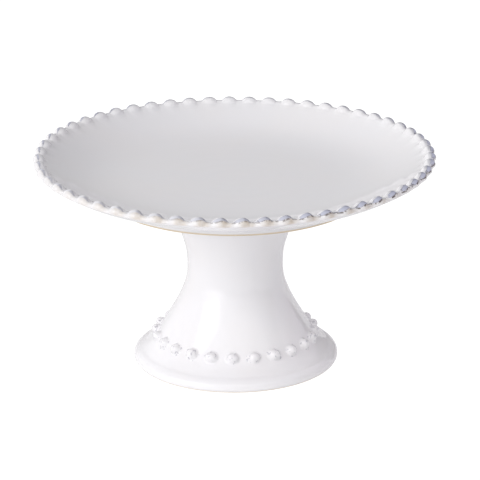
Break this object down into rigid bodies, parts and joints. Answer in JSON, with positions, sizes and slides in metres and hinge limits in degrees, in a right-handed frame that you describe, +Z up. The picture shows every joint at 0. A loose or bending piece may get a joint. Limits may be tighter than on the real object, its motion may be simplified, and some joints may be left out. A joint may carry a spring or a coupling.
{
  "type": "cake stand",
  "caption": "Footed cake stand: a shallow round plate with a pearl-beaded rim on a hollow flared pedestal ringed with pearls, in glossy white glazed stoneware.",
  "frame": {"origin": "centre of the foot's contact face, on the table", "axes": "+Z up through the plate; X and Y are equivalent, the stand is round"},
  "size_m": [0.28, 0.2802, 0.1531],
  "materials": {
    "plate_glaze": "glossy off-white glaze, blue-grey where it breaks over the pearls, bare tan on the foot ring",
    "pedestal_glaze": "glossy off-white glaze, bare tan on the contact ring",
    "pearl_glaze": "glossy off-white glaze with small grey pinholes",
    "slip": "fired slip under thin glaze"
  },
  "bodies": {
    "root": {"plate": "plate_glaze", "pedestal": "pedestal_glaze", "slip_joint": "slip", "foot_pearl_01": "pearl_glaze", "foot_pearl_02": "pearl_glaze", "foot_pearl_03": "pearl_glaze", "foot_pearl_04": "pearl_glaze", "foot_pearl_05": "pearl_glaze", "foot_pearl_06": "pearl_glaze", "foot_pearl_07": "pearl_glaze", "foot_pearl_08": "pearl_glaze", "foot_pearl_09": "pearl_glaze", "foot_pearl_10": "pearl_glaze", "foot_pearl_11": "pearl_glaze", "foot_pearl_12": "pearl_glaze", "foot_pearl_13": "pearl_glaze", "foot_pearl_14": "pearl_glaze", "foot_pearl_15": "pearl_glaze", "foot_pearl_16": "pearl_glaze", "foot_pearl_17": "pearl_glaze", "foot_pearl_18": "pearl_glaze", "foot_pearl_19": "pearl_glaze", "foot_pearl_20": "pearl_glaze", "foot_pearl_21": "pearl_glaze", "foot_pearl_22": "pearl_glaze", "foot_pearl_23": "pearl_glaze", "foot_pearl_24": "pearl_glaze"}
  },
  "joints": []
}
